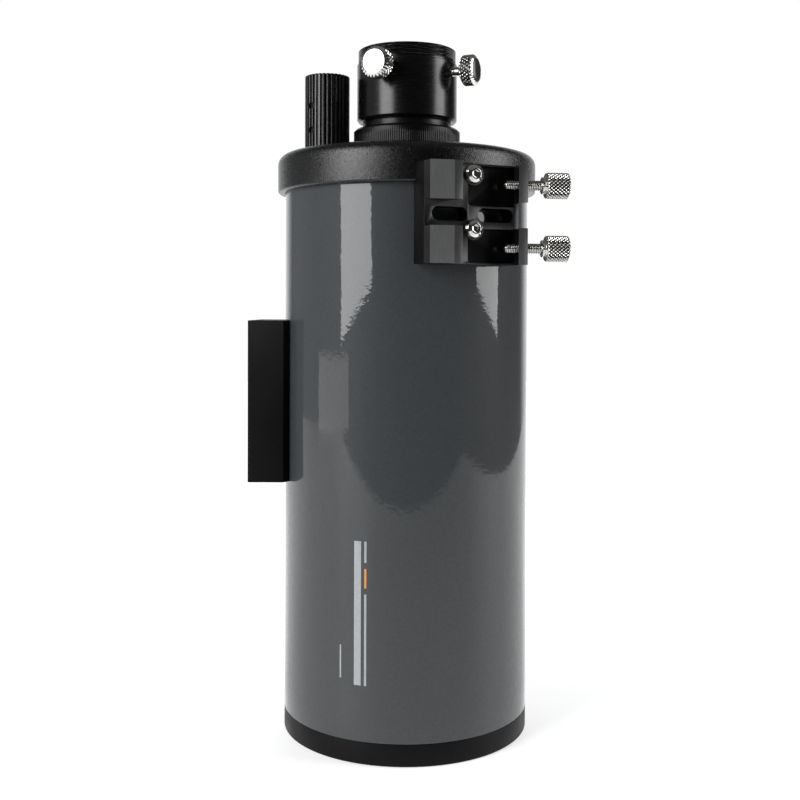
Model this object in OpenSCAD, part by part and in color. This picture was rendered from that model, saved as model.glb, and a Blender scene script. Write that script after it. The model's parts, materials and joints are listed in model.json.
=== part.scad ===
// Small Maksutov-Cassegrain telescope standing on its front rim, eyepiece end up.
// The optical axis is Z, z = 0 is the front rim, and the finder shoe faces -Y and +X.

/* [Tube] */
// Outer diameter of the main tube
tube_d = 104; // [100:0.5:110]
// Wall thickness of the main tube
tube_wall = 1.5; // [1:0.1:2]
// Height of the black front cell band
band_h = 9; // [7:0.5:12]
// Height of the lower edge of the rear cell
cell_z = 227.3; // [220:0.1:240]

/* [Rear cell] */
// Outer diameter of the rear cell
cell_d = 110.6; // [108:0.1:114]
// Height of the rear cell from its lower edge to its back face
cell_h = 16.2; // [15:0.1:20]
// Radius of the rounded back edge of the rear cell
cell_round = 4.5; // [2:0.1:5]

/* [Visual back] */
// Diameter of the knurled collar
collar_d = 45.8; // [44:0.1:48]
// Diameter of the eyepiece holder barrel
holder_d = 43; // [42.5:0.1:46]
// Diameter of the camera thread on the holder's rim
rim_d = 42; // [40:0.1:42.2]
// Radius of the eyepiece socket
socket_r = 15.95; // [15.9:0.01:16]
// Radius of the light path through the baffle tube
baffle_bore_r = 13.5; // [12:0.1:13.8]

/* [Focuser] */
// Distance from the optical axis to the focus knob's axis
knob_x = 34.4; // [34:0.1:36]
// Outer diameter of the focus knob
knob_d = 19.2; // [17:0.1:20]
// Height of the focus knob
knob_h = 33.8; // [32:0.1:36]

/* [Finder shoe] */
// Turn of the shoe about the optical axis
shoe_turn = 25.75; // [20:0.25:35]
// Width of the shoe across its rails
shoe_w = 41.5; // [40:0.1:44]
// Height of the shoe's lower end
shoe_z = 195.5; // [190:0.1:200]
// Length of the shoe
shoe_len = 38.9; // [36:0.1:42]
// Distance from the optical axis to the shoe's channel floor
floor_r = 58.5; // [58:0.1:60]

/* [Dovetail bar] */
// Length of the bar along the tube
bar_len = 67.1; // [60:0.1:75]
// Width of the bar
bar_w = 44; // [43:0.1:45]
// Height of the bar's lower end
bar_z = 106.1; // [100:0.1:120]
// Distance from the optical axis to the bar's outer face
bar_r = 65.6; // [64:0.1:68]

/* [Hidden] */

$fn = 96;
eps = 0.01;
gap = 0.05;

tube_r = tube_d / 2;
bore_r = tube_r - tube_wall;
cell_r = cell_d / 2;
cell_top = cell_z + cell_h;
plate_h = 6.5;
plate_z = cell_top - plate_h;
tube_top = plate_z - 1;

// Front optics: a meniscus lens, hollow to the sky, held by a ring from the front
lens_r = 47.5;
lens_edge_z = 10.5;
lens_seat_z = 20;
lens_seat_r = 45.5;
lens_bore_r = lens_r + 0.1;
lens_front_r = 127;
lens_back_r = 133;
lens_thick = 9;
lens_front_c = lens_edge_z - sqrt(pow(lens_front_r, 2) - pow(lens_r, 2));
lens_back_c = lens_front_c + lens_front_r + lens_thick - lens_back_r;
spot_r = 12;
spot_t = 0.2;
spigot_top = 22;
spigot_r = bore_r - gap;
ring_z = 7.5;

// Plug-in dust cap, its face just inside the rim
cap_r = 48.9;
cap_bore_r = cap_r + gap;
cap_z = 0.5;
cap_top = 6.5;
cap_plate = 2;
cap_wall = 2;
grip_r = 15;
grip_depth = 7;
grip_bar = 5;

// Rear port and the parts that screw on it
port_r = 19.35;
port_top = 250;
cell_bore_r = port_r + gap;
flange_r = 24;
flange_h = 4;
baffle_r = 15;
baffle_z = 150;
lock_top = 247;
lock_r = 21.6;
collar_z = 247.1;
collar_top = 255.1;
lip_z = 252.5;
lip_r = 17.7;
sleeve_r = 17.6;
sleeve_flange_r = 19.2;
neck_r = 19;
neck_z = 255.4;
barrel_z = 258.3;
barrel_top = 283.1;
holder_top = 289;
socket_z = 262;
sleeve_thread_r = 18.5;
thumb_z = 278.8;

// Primary mirror on its sliding hub
mirror_r = 45.5;
mirror_edge_z = 202;
mirror_back_z = 213.5;
mirror_curve_r = 520;
mirror_curve_c = mirror_edge_z - sqrt(pow(mirror_curve_r, 2) - pow(mirror_r, 2));
hub_bore_r = baffle_r + 0.06;
hub_r = 18;
hub_flange_r = 27;
hub_bottom = 196;
hub_top = 224;
washer_t = 0.6;
hub_flange_z = mirror_back_z + washer_t;
hub_flange_h = 4;
arm_top = hub_flange_z + hub_flange_h;
arm_r = 6;
mirror_land_r = 23;
mirror_land_z = 203.5;
mirror_ring_h = 2.5;

// Focus drive: a fixed rod on the hub, inside a threaded sleeve that the knob turns
rod_r = 3;
rod_top = 262;
rod_nut_h = 5;
nut_flat_m6 = 10;
drive_r = 5;
drive_z = 232.5;
drive_top = 270;
drive_bore_r = rod_r + gap;
thrust_r = 7.5;
thrust_h = 2.5;
thin_washer = 1;
bush_r = 8.5;
bush_z = plate_z - 1;
bush_top = cell_top;
knob_z = cell_top + 0.9;
knob_r = knob_d / 2;
knob_bore_top = 272;
knob_flutes = 32;
flute_r = 0.45;
grub_r = 1.5;
grub_turn = -42.6;
grub_heights = [254.4, 264.7];

// Thumbscrews
m4_r = 2;
m4_hole_r = m4_r + 0.06;
thumb_turns = [-25, 65];
thumb_tip = 16.5;
thumb_shank_end = 31;
thumb_head_in = 26;
thumb_hub_h = 0.8;
thumb_knurl_h = 4.4;
thumb_bevel_h = 1.2;
thumb_head_r = 6.5;
thumb_face_r = 5;
thumb_dish = 0.3;

// Finder shoe, drawn facing -Y: u is across, v is out from the channel floor
shoe_top = shoe_z + shoe_len;
half_w = shoe_w / 2;
rail_v = 7.03;
side_v = 4.87;
rail_side_u = 11.8;
left_lip = 8.04;
right_lip = 16.65;
undercut = 2.35;
undercut_v = 2.6;
skirt_v = -9;
cross_z = 209.7;
cross_h = 10;
slot_w = 5.4;
slot_z = cross_z + cross_h / 2;
left_slot = [-17.6, -2.3];
right_slot = [2.4, 18.2];
pocket_u = -2;
pocket_wall = 0.7;
pocket_v = -1.6;
pocket_corner = 1.2;
upper_pocket_z = 218.2;
lower_pocket_top = 209.3;
boss_r = 4.3;
shoe_screw_u = 0.5;
shoe_screw_z = [230.3, 209.2];
shoe_screw_len = [7.4, 11.6];
button_r = 3.8;
button_h = 2.2;
// The clamp screws lean outward; lengths along them count from the middle of the rail's wall
clamp_z = [226.6, 202];
clamp_u = 19.5;
clamp_v = 3.5;
clamp_lean = 18;
clamp_tip = -6.9;
clamp_shank_end = 16;
clamp_head_in = 8.4;
clamp_collar_h = 1.6;
clamp_collar_r = 3.4;
clamp_head_h = 8.9;
clamp_head_r = 5.15;

// Dovetail bar
bar_side_r = 50.8;
bar_foot_w = 35;
bar_foot_r = 46;
bar_edge = 0.8;
bar_mid_z = bar_z + bar_len / 2;
bar_screw_pitch = 44;
m5_r = 2.5;
m5_head_r = 4.25;
m5_head_h = 5;
tripod_r = 3.175;
tripod_depth = 10;
inner_nut_h = 4;

// A straight ring between two heights
module ring(z0, z1, outer, inner) {
    translate([0, 0, z0]) difference() {
        cylinder(r = outer, h = z1 - z0);
        translate([0, 0, -1]) cylinder(r = inner, h = z1 - z0 + 2);
    }
}

// A rod whose axis points out from the optical axis, at a turn from -Y
module radial(turn, z, from, to, r) {
    rotate([0, 0, turn]) translate([0, -from, z]) rotate([90, 0, 0])
        cylinder(r = r, h = to - from);
}

// A hexagon bar along Z with a round hole
module hex_nut(flats, h, hole_r) {
    difference() {
        cylinder(d = flats / cos(30), h = h, $fn = 6);
        translate([0, 0, -1]) cylinder(r = hole_r, h = h + 2);
    }
}

module tube() {
    color([0.28, 0.29, 0.31]) difference() {
        ring(band_h, tube_top, tube_r, bore_r);
        for (z = shoe_screw_z) shoe_screw_hole(z);
        for (z = bar_screw_heights()) radial(-90, z, bore_r - 2, tube_r + 2, m5_r + gap);
    }
}

module front_cell() {
    color([0.1, 0.1, 0.1]) difference() {
        union() {
            cylinder(r = tube_r, h = band_h);
            cylinder(r = spigot_r, h = spigot_top);
        }
        translate([0, 0, -1]) cylinder(r = cap_bore_r, h = cap_top + 1);
        cylinder(r = lens_bore_r, h = lens_seat_z);
        cylinder(r = lens_seat_r, h = spigot_top + 1);
    }
}

module back_sphere(extra) {
    translate([0, 0, lens_back_c]) sphere(r = lens_back_r + extra);
}

module corrector_lens() {
    color([0.6, 0.75, 0.8, 0.4]) difference() {
        intersection() {
            cylinder(r = lens_r, h = lens_back_c + lens_back_r + 1);
            back_sphere(0);
        }
        translate([0, 0, lens_front_c]) sphere(r = lens_front_r);
        translate([0, 0, lens_seat_z]) difference() {
            cylinder(r = lens_r + 1, h = 20);
            translate([0, 0, -1]) cylinder(r = lens_seat_r - 0.3, h = 22);
        }
    }
}

module corrector_ring() {
    color([0.1, 0.1, 0.1]) ring(ring_z, lens_edge_z, lens_bore_r - gap, lens_seat_r);
}

module secondary_spot() {
    color([0.9, 0.9, 0.92]) difference() {
        intersection() {
            cylinder(r = spot_r, h = lens_back_c + lens_back_r + 2);
            back_sphere(spot_t);
        }
        back_sphere(0);
    }
}

module secondary_baffle() {
    color([0.05, 0.05, 0.05]) difference() {
        translate([0, 0, lens_seat_z]) rotate_extrude()
            polygon([[spot_r + 0.3, 0], [spot_r + 3, 0], [spot_r + 5, 22], [spot_r + 4, 22],
                     [spot_r + 0.3, 9]]);
        back_sphere(0);
    }
}

module dust_cap() {
    color([0.06, 0.06, 0.06]) {
        difference() {
            union() {
                translate([0, 0, cap_z]) cylinder(r = cap_r, h = cap_top - cap_z - 0.2);
                translate([0, 0, cap_z]) cylinder(r = grip_r + cap_wall, h = grip_depth + cap_wall);
            }
            ring(cap_z + cap_plate, cap_top, cap_r - cap_wall, grip_r + cap_wall);
            translate([0, 0, cap_z - 1]) cylinder(r = grip_r, h = grip_depth + 1);
        }
        translate([-grip_r - 1, -grip_bar / 2, cap_z]) cube([2 * grip_r + 2, grip_bar, grip_depth + 1]);
    }
}

// The cell's outline, turned about the axis: a skirt round the tube and a back plate
module rear_cell() {
    lip = 1;
    color([0.08, 0.08, 0.08]) difference() {
        rotate_extrude() union() {
            translate([cell_bore_r, plate_z]) square([cell_r - cell_round - cell_bore_r, plate_h]);
            translate([tube_r + gap, cell_z + lip]) square([cell_r - tube_r - gap,
                                                           cell_h - cell_round - lip]);
            translate([cell_r - cell_round, cell_top - cell_round]) intersection() {
                circle(r = cell_round);
                square(cell_round);
            }
            translate([bore_r, plate_z]) square([cell_r - cell_round - bore_r, plate_h]);
            polygon([[tube_r + gap, cell_z], [cell_r - 0.6, cell_z], [cell_r, cell_z + lip],
                     [tube_r + gap, cell_z + lip]]);
        }
        translate([-knob_x, 0, plate_z - 1]) cylinder(r = bush_r, h = plate_h + 2);
        shoe_screw_hole(shoe_screw_z[0]);
    }
}

module baffle_tube() {
    color([0.07, 0.07, 0.07]) difference() {
        union() {
            translate([0, 0, baffle_z]) cylinder(r = baffle_r, h = plate_z - baffle_z);
            translate([0, 0, plate_z - flange_h]) cylinder(r = flange_r, h = flange_h);
            translate([0, 0, plate_z - eps]) cylinder(r = port_r, h = port_top - plate_z + eps);
        }
        translate([0, 0, baffle_z - 1]) cylinder(r = baffle_bore_r, h = port_top - baffle_z + 2);
    }
}

module port_lock_ring() {
    color([0.1, 0.1, 0.1]) ring(cell_top, lock_top, lock_r, port_r + gap);
}

module primary_mirror() {
    color([0.85, 0.87, 0.9]) difference() {
        translate([0, 0, mirror_edge_z]) cylinder(r = mirror_r, h = mirror_back_z - mirror_edge_z);
        translate([0, 0, mirror_curve_c]) sphere(r = mirror_curve_r, $fn = 180);
        translate([0, 0, mirror_edge_z - 1]) cylinder(r = mirror_land_r,
                                                      h = mirror_land_z - mirror_edge_z + 1);
        translate([0, 0, mirror_edge_z - 1]) cylinder(r = hub_r + gap, h = 30);
    }
}

module mirror_hub() {
    color([0.6, 0.6, 0.62]) difference() {
        union() {
            translate([0, 0, hub_bottom]) cylinder(r = hub_r, h = hub_top - hub_bottom);
            translate([0, 0, hub_flange_z]) cylinder(r = hub_flange_r, h = hub_flange_h);
            translate([-knob_x, 0, hub_flange_z]) cylinder(r = arm_r, h = hub_flange_h);
            translate([-knob_x, -arm_r, hub_flange_z]) cube([knob_x - hub_r, 2 * arm_r, hub_flange_h]);
        }
        translate([0, 0, hub_bottom - 1]) cylinder(r = hub_bore_r, h = hub_top - hub_bottom + 2);
        translate([-knob_x, 0, hub_flange_z - 1]) cylinder(r = rod_r + gap, h = hub_flange_h + 2);
    }
}

module mirror_ring() {
    color([0.1, 0.1, 0.1]) ring(mirror_land_z - mirror_ring_h, mirror_land_z, mirror_land_r - 1,
                                hub_r + gap);
}

module mirror_washer() {
    color([0.6, 0.4, 0.25]) ring(mirror_back_z, hub_flange_z, hub_flange_r - 0.5, hub_r + gap);
}

module focus_rod() {
    color([0.7, 0.7, 0.72]) translate([-knob_x, 0, hub_flange_z])
        cylinder(r = rod_r, h = rod_top - hub_flange_z);
}

module rod_nut() {
    color([0.7, 0.7, 0.72]) translate([-knob_x, 0, arm_top])
        hex_nut(nut_flat_m6, rod_nut_h, rod_r + gap);
}

module focus_sleeve() {
    color([0.75, 0.6, 0.3]) translate([-knob_x, 0, 0]) {
        ring(drive_z, drive_top, drive_r, drive_bore_r);
        ring(drive_z, drive_z + thrust_h, thrust_r, drive_r - eps);
    }
}

module focus_bushing() {
    color([0.75, 0.6, 0.3]) translate([-knob_x, 0, 0])
        ring(bush_z, bush_top, bush_r - 0.02, drive_r + 0.06);
}

module thrust_washers() {
    color([0.9, 0.9, 0.88]) translate([-knob_x, 0, 0]) {
        ring(bush_z - thin_washer + gap, bush_z, thrust_r, drive_r + 0.1);
        ring(bush_top, knob_z - gap, thrust_r, drive_r + 0.1);
    }
}

module focus_knob() {
    color([0.08, 0.08, 0.08]) translate([-knob_x, 0, 0]) difference() {
        translate([0, 0, knob_z]) cylinder(r = knob_r, h = knob_h);
        translate([0, 0, knob_z - 1]) cylinder(r = drive_r + 0.02, h = knob_bore_top - knob_z + 1);
        for (i = [0 : knob_flutes - 1]) rotate([0, 0, i * 360 / knob_flutes])
            translate([knob_r, 0, knob_z - 1]) cylinder(r = flute_r, h = knob_h + 2, $fn = 16);
        for (z = grub_heights) radial(grub_turn, z, drive_r - 1, knob_r + 1, grub_r + 0.02);
    }
}

module knob_grub_screws() {
    color([0.3, 0.3, 0.3]) translate([-knob_x, 0, 0])
        for (z = grub_heights) radial(grub_turn, z, drive_r + 0.01, knob_r - 1.2, grub_r);
}

module collar_ring() {
    chamfer = 1;
    r = collar_d / 2;
    color([0.1, 0.1, 0.1]) difference() {
        union() {
            translate([0, 0, collar_z]) cylinder(r = r, h = collar_top - chamfer - collar_z);
            translate([0, 0, collar_top - chamfer]) cylinder(r1 = r, r2 = r - chamfer, h = chamfer);
        }
        translate([0, 0, collar_z - 1]) cylinder(r = port_r + gap, h = lip_z - collar_z + 1);
        translate([0, 0, collar_z - 1]) cylinder(r = lip_r, h = collar_top - collar_z + 2);
    }
}

module holder_sleeve() {
    color([0.08, 0.08, 0.08]) difference() {
        union() {
            translate([0, 0, port_top]) cylinder(r = sleeve_flange_r, h = lip_z - gap - port_top);
            translate([0, 0, port_top]) cylinder(r = sleeve_r, h = neck_z - port_top + eps);
            translate([0, 0, neck_z]) cylinder(r = neck_r, h = barrel_z - neck_z);
            translate([0, 0, neck_z]) cylinder(r = sleeve_thread_r, h = socket_z - neck_z);
        }
        translate([0, 0, port_top - 1]) cylinder(r = baffle_bore_r + 1, h = socket_z - port_top + 2);
    }
}

module eyepiece_holder() {
    chamfer = 0.8;
    r = holder_d / 2;
    color([0.06, 0.06, 0.06]) difference() {
        union() {
            translate([0, 0, barrel_z]) cylinder(r1 = r - chamfer, r2 = r, h = chamfer);
            translate([0, 0, barrel_z + chamfer]) cylinder(r = r, h = barrel_top - barrel_z - chamfer);
            translate([0, 0, barrel_top]) cylinder(r = rim_d / 2, h = holder_top - barrel_top);
        }
        translate([0, 0, barrel_z - 1]) cylinder(r = sleeve_thread_r + gap, h = socket_z - barrel_z + 1);
        translate([0, 0, barrel_z - 1]) cylinder(r = socket_r, h = holder_top - barrel_z + 2);
        for (turn = thumb_turns) radial(turn, thumb_z, socket_r - 2, r + 2, m4_hole_r);
    }
}

// Threaded shank of a holder thumbscrew
module thumb_shank(turn) {
    color([0.8, 0.8, 0.82]) radial(turn, thumb_z, thumb_tip, thumb_shank_end, m4_r);
}

// Knurled head of a holder thumbscrew, bevelled and dished at its outer end
module thumb_head(turn) {
    knurl_in = thumb_head_in + thumb_hub_h;
    bevel_in = knurl_in + thumb_knurl_h;
    tip = bevel_in + thumb_bevel_h;
    color([0.8, 0.8, 0.82]) difference() {
        union() {
            radial(turn, thumb_z, thumb_head_in, knurl_in + eps, thumb_head_r - 1.5);
            radial(turn, thumb_z, knurl_in, bevel_in, thumb_head_r);
            rotate([0, 0, turn]) translate([0, -bevel_in, thumb_z]) rotate([90, 0, 0])
                cylinder(r1 = thumb_head_r, r2 = thumb_face_r, h = thumb_bevel_h);
        }
        radial(turn, thumb_z, thumb_head_in - 1, thumb_shank_end + 0.05, m4_r + gap);
        radial(turn, thumb_z, tip - thumb_dish, tip + 1, thumb_face_r - 0.6);
    }
}

module left_screw_shank() { thumb_shank(thumb_turns[0]); }
module left_screw_head() { thumb_head(thumb_turns[0]); }
module right_screw_shank() { thumb_shank(thumb_turns[1]); }
module right_screw_head() { thumb_head(thumb_turns[1]); }

// Places a shape drawn in the shoe's own frame, whose channel floor is at y = 0
module in_shoe_frame() {
    rotate([0, 0, shoe_turn]) translate([0, -floor_r, 0]) children();
}

// A hole for one of the shoe's screws, through the shoe and what is behind it
module shoe_screw_hole(z) {
    in_shoe_frame() translate([shoe_screw_u, 12, z]) rotate([90, 0, 0])
        cylinder(r = m4_r + gap, h = 14);
}

// A slot with round ends through the channel floor
module floor_slot(ends) {
    for (u = [ends[0] + slot_w / 2, ends[1] - slot_w / 2]) translate([u, 12, slot_z])
        rotate([90, 0, 0]) cylinder(d = slot_w, h = 20);
    translate([ends[0] + slot_w / 2, -8, slot_z - slot_w / 2])
        cube([ends[1] - ends[0] - slot_w, 20, slot_w]);
}

// A milled recess in the channel floor with round corners
module floor_pocket(z0, z1) {
    right = right_lip + undercut;
    translate([0, -pocket_v, 0]) rotate([90, 0, 0]) linear_extrude(-pocket_v + 1) union() {
        translate([pocket_u + pocket_corner, z0]) square([right - pocket_u - pocket_corner, z1 - z0]);
        translate([pocket_u, z0 + pocket_corner])
            square([right - pocket_u, z1 - z0 - 2 * pocket_corner]);
        for (z = [z0 + pocket_corner, z1 - pocket_corner]) translate([pocket_u + pocket_corner, z])
            circle(r = pocket_corner, $fn = 24);
    }
}

module finder_shoe() {
    color([0.16, 0.17, 0.17]) difference() {
        in_shoe_frame() difference() {
            translate([0, 0, shoe_z]) linear_extrude(shoe_len) polygon([
                [-half_w, -skirt_v], [half_w, -skirt_v], [half_w, -rail_v], [right_lip, -rail_v],
                [right_lip + undercut, -undercut_v], [right_lip + undercut, 0],
                [-left_lip - undercut, 0], [-left_lip - undercut, -undercut_v],
                [-left_lip, -rail_v], [-rail_side_u, -rail_v], [-half_w, -side_v]]);
            translate([-half_w - 1, -rail_v - 1, cross_z]) cube([shoe_w + 2, rail_v + 1, cross_h]);
            floor_slot(left_slot);
            floor_slot(right_slot);
            difference() {
                union() {
                    floor_pocket(upper_pocket_z, shoe_top - pocket_wall);
                    floor_pocket(shoe_z + pocket_wall, lower_pocket_top);
                }
                for (z = shoe_screw_z) translate([shoe_screw_u, 4, z]) rotate([90, 0, 0])
                    cylinder(r = boss_r, h = 8);
            }
            for (z = clamp_z) along_clamp(z) translate([0, 0, -4.5]) cylinder(r = m4_hole_r, h = 9);
        }
        translate([0, 0, shoe_z - 1]) cylinder(r = tube_r + gap, h = shoe_len + 2);
        translate([0, 0, cell_z - gap]) cylinder(r = cell_r + gap, h = shoe_len);
        for (z = shoe_screw_z) shoe_screw_hole(z);
    }
}

// Button-head screws that hold the shoe: the upper one in the rear cell, the lower in a nut
module shoe_screws() {
    color([0.75, 0.75, 0.76]) in_shoe_frame() for (i = [0, 1])
        translate([shoe_screw_u, 0, shoe_screw_z[i]]) rotate([90, 0, 0]) difference() {
            union() {
                cylinder(r1 = button_r, r2 = button_r - 1.2, h = button_h);
                translate([0, 0, -shoe_screw_len[i]]) cylinder(r = m4_r, h = shoe_screw_len[i] + eps);
            }
            translate([0, 0, button_h - 1.2]) cylinder(d = 2.9, h = 2, $fn = 6);
        }
}

module shoe_nut() {
    seat = floor_r - bore_r + 0.25;
    color([0.7, 0.7, 0.7]) in_shoe_frame() translate([shoe_screw_u, seat + 3.2, shoe_screw_z[1]])
        rotate([90, 0, 0]) hex_nut(7, 3.2, m4_r + gap);
}

// Places a shape drawn along Z on a clamp screw's axis, in the shoe's own frame
module along_clamp(z) {
    translate([clamp_u, -clamp_v, z]) rotate([0, 0, -clamp_lean]) rotate([0, 90, 0]) children();
}

// Threaded shank of a finder clamp screw
module clamp_shank(z) {
    color([0.8, 0.8, 0.82]) in_shoe_frame() along_clamp(z) translate([0, 0, clamp_tip])
        cylinder(r = m4_r, h = clamp_shank_end - clamp_tip);
}

// Knurled head of a finder clamp screw with its narrow collar
module clamp_head(z) {
    color([0.8, 0.8, 0.82]) in_shoe_frame() along_clamp(z) translate([0, 0, clamp_head_in])
        difference() {
            union() {
                cylinder(r = clamp_collar_r, h = clamp_collar_h + eps);
                translate([0, 0, clamp_collar_h]) cylinder(r = clamp_head_r, h = clamp_head_h);
            }
            translate([0, 0, -1]) cylinder(r = m4_r + gap, h = clamp_shank_end - clamp_head_in + 1 + gap);
        }
}

module upper_clamp_shank() { clamp_shank(clamp_z[0]); }
module upper_clamp_head() { clamp_head(clamp_z[0]); }
module lower_clamp_shank() { clamp_shank(clamp_z[1]); }
module lower_clamp_head() { clamp_head(clamp_z[1]); }

function bar_screw_heights() = [bar_mid_z - bar_screw_pitch / 2, bar_mid_z + bar_screw_pitch / 2];

// The bar's outline seen along the tube: square block with a narrower foot on the tube
module dovetail_bar() {
    half = bar_w / 2;
    foot = bar_foot_w / 2;
    color([0.1, 0.1, 0.1]) difference() {
        translate([0, 0, bar_z]) linear_extrude(bar_len) polygon([
            [-bar_r, -half + bar_edge], [-bar_r + bar_edge, -half], [-bar_side_r, -half],
            [-bar_side_r + 3, -foot], [-bar_foot_r, -foot], [-bar_foot_r, foot],
            [-bar_side_r + 3, foot], [-bar_side_r, half], [-bar_r + bar_edge, half],
            [-bar_r, half - bar_edge]]);
        translate([0, 0, bar_z - 1]) cylinder(r = tube_r + gap, h = bar_len + 2);
        for (z = bar_screw_heights()) {
            radial(-90, z, bore_r, bar_r + 1, m5_r + gap);
            radial(-90, z, bar_r - m5_head_h - 0.5, bar_r + 1, m5_head_r + 0.25);
        }
        radial(-90, bar_mid_z, bar_r - tripod_depth, bar_r + 1, tripod_r);
    }
}

module dovetail_screws() {
    head_base = bar_r - m5_head_h - 0.5;
    color([0.2, 0.2, 0.2]) for (z = bar_screw_heights()) difference() {
        union() {
            radial(-90, z, bore_r - inner_nut_h - 1, head_base + eps, m5_r);
            radial(-90, z, head_base, head_base + m5_head_h, m5_head_r);
        }
        translate([-head_base - m5_head_h + 2.5, 0, z]) rotate([0, -90, 0])
            cylinder(d = 4.6, h = 4, $fn = 6);
    }
}

module dovetail_nuts() {
    seat = 0.25;
    color([0.7, 0.7, 0.7]) for (z = bar_screw_heights())
        translate([-bore_r + seat, 0, z]) rotate([0, 90, 0]) hex_nut(8, inner_nut_h, m5_r + gap);
}

tube();
front_cell();
corrector_lens();
corrector_ring();
secondary_spot();
secondary_baffle();
dust_cap();
rear_cell();
baffle_tube();
port_lock_ring();
primary_mirror();
mirror_hub();
mirror_ring();
mirror_washer();
focus_rod();
rod_nut();
focus_sleeve();
focus_bushing();
thrust_washers();
focus_knob();
knob_grub_screws();
collar_ring();
holder_sleeve();
eyepiece_holder();
left_screw_shank();
left_screw_head();
right_screw_shank();
right_screw_head();
finder_shoe();
shoe_screws();
shoe_nut();
upper_clamp_shank();
upper_clamp_head();
lower_clamp_shank();
lower_clamp_head();
dovetail_bar();
dovetail_screws();
dovetail_nuts();
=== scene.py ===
import json
from math import atan2, ceil, cos, hypot, pi, radians, sin, tan

import bmesh
import bpy
from mathutils import Matrix, Quaternion, Vector


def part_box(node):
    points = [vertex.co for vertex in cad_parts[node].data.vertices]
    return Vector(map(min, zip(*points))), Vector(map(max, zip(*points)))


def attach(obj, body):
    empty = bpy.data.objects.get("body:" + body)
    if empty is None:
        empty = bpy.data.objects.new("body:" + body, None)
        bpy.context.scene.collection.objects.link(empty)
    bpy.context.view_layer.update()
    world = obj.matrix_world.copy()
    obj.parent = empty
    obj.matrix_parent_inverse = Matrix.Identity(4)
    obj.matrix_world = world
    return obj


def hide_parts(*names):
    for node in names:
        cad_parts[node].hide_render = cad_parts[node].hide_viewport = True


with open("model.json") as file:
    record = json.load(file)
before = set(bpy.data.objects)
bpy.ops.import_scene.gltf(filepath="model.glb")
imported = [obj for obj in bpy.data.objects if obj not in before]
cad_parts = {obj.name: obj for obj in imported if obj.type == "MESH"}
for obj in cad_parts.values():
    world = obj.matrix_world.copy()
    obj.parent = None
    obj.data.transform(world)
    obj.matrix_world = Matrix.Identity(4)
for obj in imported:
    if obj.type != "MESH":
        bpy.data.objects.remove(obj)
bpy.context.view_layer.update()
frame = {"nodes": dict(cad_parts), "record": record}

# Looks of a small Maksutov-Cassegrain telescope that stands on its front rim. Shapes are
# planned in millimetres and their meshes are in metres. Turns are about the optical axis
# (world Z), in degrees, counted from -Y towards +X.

MM = 0.001
TAU = 2 * pi


def span(node, axis):
    """Lowest and highest place of a CAD node along an axis, in millimetres."""
    low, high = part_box(node)
    return low["xyz".index(axis)] / MM, high["xyz".index(axis)] / MM


def radius_of(node):
    """Half the width of a round CAD node along X, in millimetres."""
    low, high = span(node, "x")
    return (high - low) / 2


# ---------------------------------------------------------------- main dimensions, in millimetres

TUBE_R = radius_of("tube")
TUBE_WALL = 1.5
BAND_TOP = span("tube", "z")[0]
CELL_R = radius_of("rear_cell")
CELL_LOW, CELL_HIGH = span("rear_cell", "z")
THUMB_TURNS = {"left": -25.0, "right": 65.0}
THUMB_Z = sum(span("left_screw_shank", "z")) / 2
CLAMP_Z = {"upper": sum(span("upper_clamp_shank", "z")) / 2,
           "lower": sum(span("lower_clamp_shank", "z")) / 2}
CLAMP_LEAN = 18.0
M4_R = 2.0
M4_PITCH = 0.7
M4_POINT = 0.6

# Thumbscrews: the tip, the shank's length and the head's inner end, from the optical axis
THUMB_TIP, THUMB_SHANK, THUMB_HEAD = 16.5, 14.5, 26

# Clamp screws: a point of their axis, across the shoe and out from its channel floor; then the
# tip, the shank's length and the head's inner end, along the axis from that point
CLAMP_U, CLAMP_V = 19.5, 3.5
CLAMP_TIP, CLAMP_SHANK, CLAMP_HEAD = -6.9, 22.9, 8.4

# A place on a screw's axis beyond its end, to aim at
FAR = 40

# Depth at which a knurl's and a thread's grooves take the painted-shade material
KNURL_SHADE, THREAD_SHADE = 0.27, 0.3

KNOB_LOW, KNOB_HIGH = span("focus_knob", "z")
KNOB_X = sum(span("focus_knob", "x")) / 2
GRUB_TURN = -42.6
GRUB_Z = (254.4, 264.7)

# The finder shoe: its turn, its channel floor, its left rail's sloped outer face, its screws
SHOE_TURN = 25.75
SHOE_FLOOR = 58.5
RAIL_V = 7.03
RAIL_SIDE_U = 11.8
FACET_TILT = atan2(2.16, 8.95)
FACET_REACH = ((SHOE_FLOOR + RAIL_V) * cos(FACET_TILT) + RAIL_SIDE_U * sin(FACET_TILT)) * MM
SHOE_SCREW_Z = (230.3, 209.2)
SHOE_SCREW_LENGTHS = (7.4, 11.6)
SHOE_SCREW_U = 0.5

# The table's edges and thickness, in metres
TABLE_X = (-1.35, 0.8)
TABLE_Y = (-0.605, 2.2)
TABLE_THICKNESS = 0.02

# The camera: its place in metres, its turns in degrees, its lens in millimetres and the shift
# of its frame as a share of the frame's width
CAMERA_PLACE = (0.0, -0.4822, 0.1786)
CAMERA_DIP = 0.62
CAMERA_ROLL = 0.21
CAMERA_LENS = 50.07
CAMERA_SHIFT = (-0.0077, -0.10)

# Strength of the room's light on the camera's side, on the left, behind and overhead
ROOM_DARK = 0.03
ROOM_LEFT = 0.35
BACKDROP = 1.1
CEILING = 0.15


# ---------------------------------------------------------------- materials

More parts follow.
